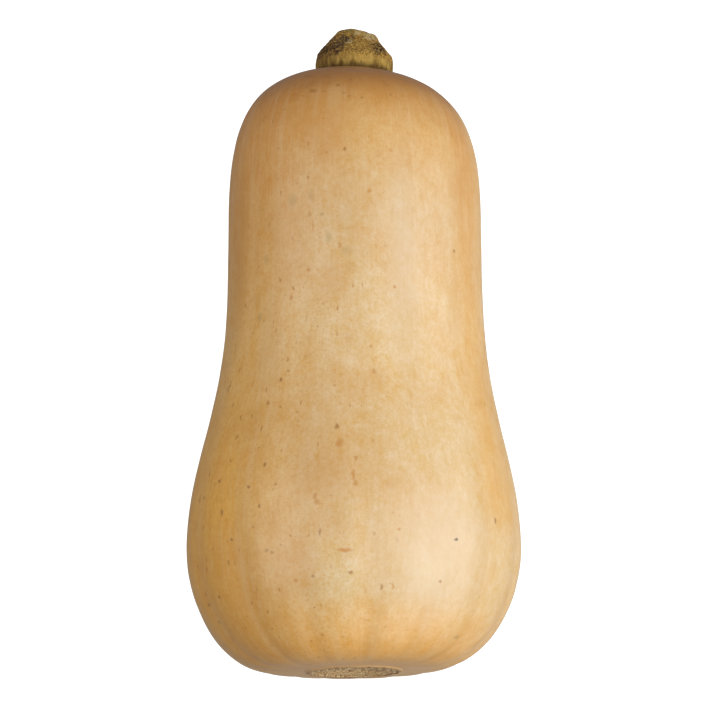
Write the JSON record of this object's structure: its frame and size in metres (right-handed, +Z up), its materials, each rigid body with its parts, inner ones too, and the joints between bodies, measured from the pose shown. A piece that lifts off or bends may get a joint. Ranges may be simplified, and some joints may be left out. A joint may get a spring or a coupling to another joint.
{
  "type": "butternut squash",
  "caption": "Whole butternut squash with smooth tan skin, a corky blossom scar and a trimmed stem, lying on its side, for kitchen, market and still-life scenes.",
  "frame": {"origin": "on the surface that the squash lies on, under the middle of its bounding box", "axes": "+Y from the blossom end to the stem, +Z up from the surface, +X to the right when the blossom end faces the viewer"},
  "size_m": [0.115, 0.2312, 0.114],
  "materials": {
    "skin": "smooth waxy rind, buff to tan with fine lengthwise streaks, brown freckles and a few blotches, and a dull corky blossom scar",
    "cork": "dry corky stem, olive at its foot, golden-brown fibres and near-black patches on the cut faces"
  },
  "bodies": {
    "root": {"fruit": "skin", "stem": "cork"}
  },
  "joints": []
}
